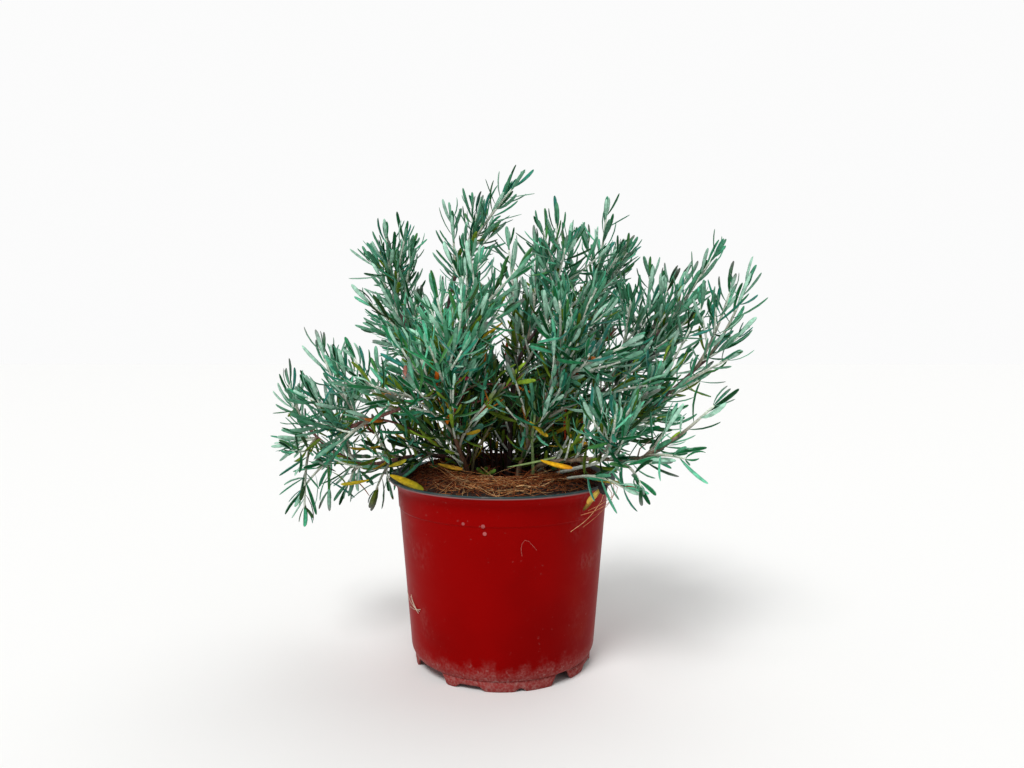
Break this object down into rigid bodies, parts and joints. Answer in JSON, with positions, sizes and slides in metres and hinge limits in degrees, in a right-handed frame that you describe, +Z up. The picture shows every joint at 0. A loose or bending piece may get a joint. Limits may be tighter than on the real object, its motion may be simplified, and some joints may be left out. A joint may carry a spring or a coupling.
{
  "type": "potted bog rosemary",
  "caption": "Bog rosemary shrub with narrow blue-green leaves in a dark red plastic nursery pot, topped with coir fibre.",
  "frame": {"origin": "centre of the pot's foot plane, under the pot's axis, which is also the middle of the whole plant's width and depth", "axes": "+Z up along the pot's axis; -Y towards the side that the picture shows; +X to that side's right"},
  "size_m": [0.4118, 0.2689, 0.4107],
  "materials": {
    "pot_plastic": "worn satin blow-moulded plastic, dark red outside with a dark grey-green inner layer, dusty at the foot",
    "peat": "matte crumbly moist peat",
    "coir": "matte loose coconut fibre",
    "bark": "matte thin purple-brown bark",
    "leaf": "waxy blue-green leaf, paler beneath, on whitish-green twigs",
    "yellow_leaf": "waxy yellow dying leaf"
  },
  "bodies": {
    "root": {"nursery_pot": "pot_plastic", "growing_medium": "peat", "coir_mulch": "coir", "upper_left_stem": "bark", "tall_stem": "bark", "front_left_stem": "bark", "centre_stem": "bark", "upper_right_stem": "bark", "front_right_stem": "bark", "right_stem": "bark", "far_right_stem": "bark", "low_right_stem": "bark", "low_left_stem": "bark", "arching_left_stem": "bark", "back_left_stem": "bark", "back_right_stem": "bark", "leafy_shoot_01": "leaf", "leafy_shoot_02": "leaf", "leafy_shoot_03": "leaf", "leafy_shoot_04": "leaf", "leafy_shoot_05": "leaf", "leafy_shoot_06": "leaf", "leafy_shoot_07": "leaf", "leafy_shoot_08": "leaf", "leafy_shoot_09": "leaf", "leafy_shoot_10": "leaf", "leafy_shoot_11": "leaf", "leafy_shoot_12": "leaf", "leafy_shoot_13": "leaf", "leafy_shoot_14": "leaf", "leafy_shoot_15": "leaf", "leafy_shoot_16": "leaf", "leafy_shoot_17": "leaf", "leafy_shoot_18": "leaf", "leafy_shoot_19": "leaf", "leafy_shoot_20": "leaf", "leafy_shoot_21": "leaf", "leafy_shoot_22": "leaf", "leafy_shoot_23": "leaf", "leafy_shoot_24": "leaf", "leafy_shoot_25": "leaf", "leafy_shoot_26": "leaf", "leafy_shoot_27": "leaf", "leafy_shoot_28": "leaf", "leafy_shoot_29": "leaf", "leafy_shoot_30": "leaf", "leafy_shoot_31": "leaf", "leafy_shoot_32": "leaf", "leafy_shoot_33": "leaf", "leafy_shoot_34": "leaf", "leafy_shoot_35": "leaf", "leafy_shoot_36": "leaf", "leafy_shoot_37": "leaf", "leafy_shoot_38": "leaf", "leafy_shoot_39": "leaf", "leafy_shoot_40": "leaf", "leafy_shoot_41": "leaf", "leafy_shoot_42": "leaf", "leafy_shoot_43": "leaf", "fallen_leaf": "yellow_leaf"}
  },
  "joints": []
}
